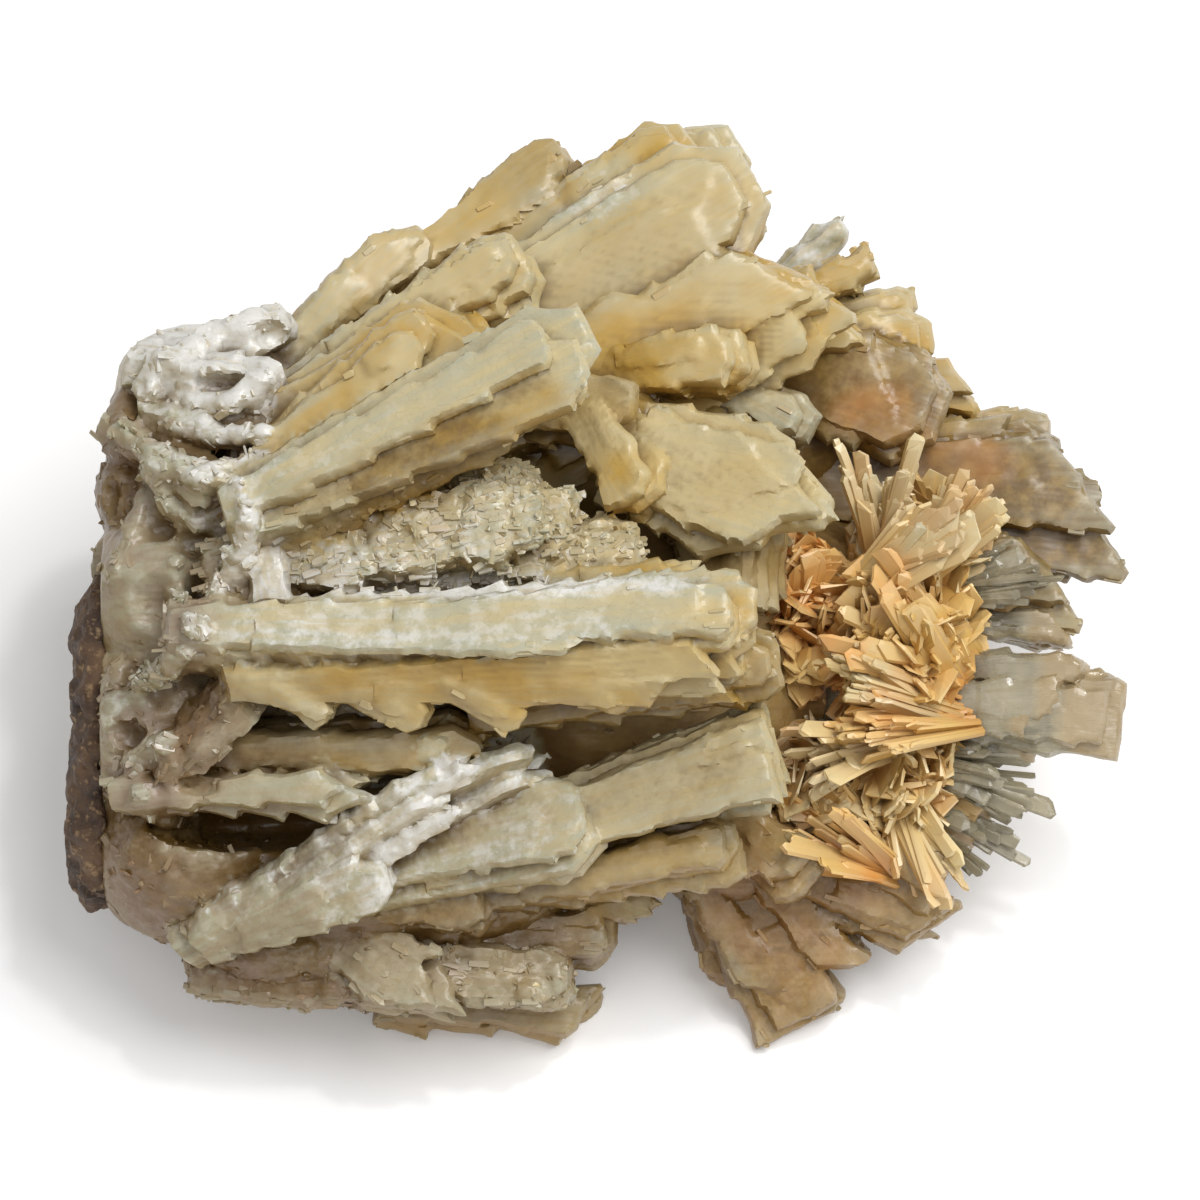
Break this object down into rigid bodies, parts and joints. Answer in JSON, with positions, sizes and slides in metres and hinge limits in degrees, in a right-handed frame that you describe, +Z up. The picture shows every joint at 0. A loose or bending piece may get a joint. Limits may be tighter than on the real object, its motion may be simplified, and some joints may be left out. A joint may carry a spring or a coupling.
{
  "type": "bladed barite crystal specimen",
  "caption": "Hand-sized cluster of tabular barite crystals, with fans of thin blades on one side and a dark rock rind on the other, resting on a small flat spot.",
  "frame": {"origin": "centre of the specimen's bounding box, on the surface it rests on", "axes": "+X to the right along the long blades, towards the crystal fans; +Y away from the viewer; +Z up"},
  "size_m": [0.1362, 0.1118, 0.0801],
  "materials": {
    "barite": "translucent honey to greyish white barite, satin on the broad faces, frosted on the edges",
    "rock": "rough dark brown host rock"
  },
  "bodies": {
    "root": {"crystal_cluster": "barite", "host_rock": "rock"}
  },
  "joints": []
}
